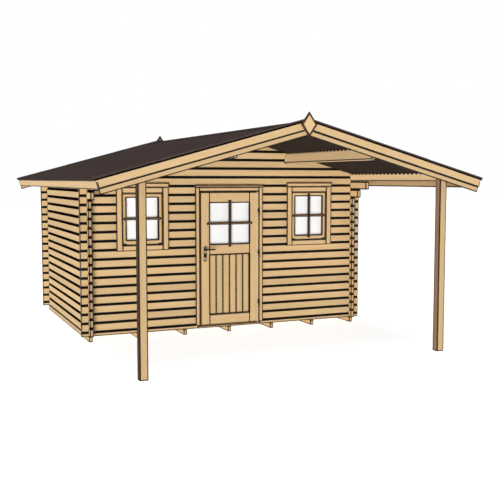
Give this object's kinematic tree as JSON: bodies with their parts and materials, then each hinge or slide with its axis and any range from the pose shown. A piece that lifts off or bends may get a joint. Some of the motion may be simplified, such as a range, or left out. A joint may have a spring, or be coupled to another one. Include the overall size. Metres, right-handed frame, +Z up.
{
  "type": "garden shed",
  "caption": "Log garden shed with a gable roof carried forward on square posts as a porch, a half-glazed hinged door and small-paned windows beside it.",
  "frame": {"origin": "middle of the overall box at ground level, under the ridge", "axes": "+X to the right seen from the front, +Y from the porch to the rear wall, +Z up"},
  "size_m": [4.6238, 5.338, 2.7514],
  "materials": {
    "log_pine": "planed",
    "board_pine": "planed",
    "beam_pine": "sawn",
    "roof_boards": "stained",
    "roofing": "matte",
    "glass": "opal",
    "pale_brass": "brushed",
    "black_iron": "satin"
  },
  "bodies": {
    "shed": {"floor_joists": "beam_pine", "floor_boards": "beam_pine", "door_threshold": "beam_pine", "front_wall_lower_left": "log_pine", "front_wall_lower_right": "log_pine", "front_wall_left_corner": "log_pine", "front_wall_left_of_door": "log_pine", "front_wall_right_of_door": "log_pine", "front_wall_right_corner": "log_pine", "front_gable": "log_pine", "rear_wall": "log_pine", "rear_gable": "log_pine", "left_wall": "log_pine", "right_wall": "log_pine", "left_eave_purlin": "beam_pine", "right_eave_purlin": "beam_pine", "middle_purlins": "beam_pine", "ridge_purlin": "beam_pine", "left_post": "beam_pine", "right_post": "beam_pine", "roof_boards_left": "roof_boards", "roof_boards_right": "roof_boards", "roof_covering_left": "roofing", "roof_covering_right": "roofing", "ridge_strip": "roofing", "front_fascia_lower": "board_pine", "front_fascia_upper": "board_pine", "rear_fascia_lower": "board_pine", "rear_fascia_upper": "board_pine", "front_diamond": "board_pine", "rear_diamond": "board_pine", "eave_boards": "board_pine", "window_trims": "board_pine", "window_linings": "board_pine", "window_sashes": "board_pine", "window_glass": "glass", "door_frame": "board_pine", "door_trim": "board_pine", "hinge_pins": "black_iron"},
    "door": {"door_leaf": "board_pine", "door_panel": "board_pine", "door_glass": "glass", "hinge_barrels": "black_iron", "handle_plates": "pale_brass"},
    "handle": {"door_handle": "black_iron"}
  },
  "joints": [
    {"name": "door_hinge", "type": "hinge", "parent": "shed", "child": "door", "pos_m": [0.423, -0.417, 1], "axis": [0, 0, 1], "range_deg": [0, 105]},
    {"name": "handle_turn", "type": "hinge", "parent": "door", "child": "handle", "pos_m": [-0.35, -0.388, 1.115], "axis": [0, 1, 0], "range_deg": [0, 40], "stiffness_Nm_per_rad": 1.2, "springref_deg": -22.92}
  ]
}
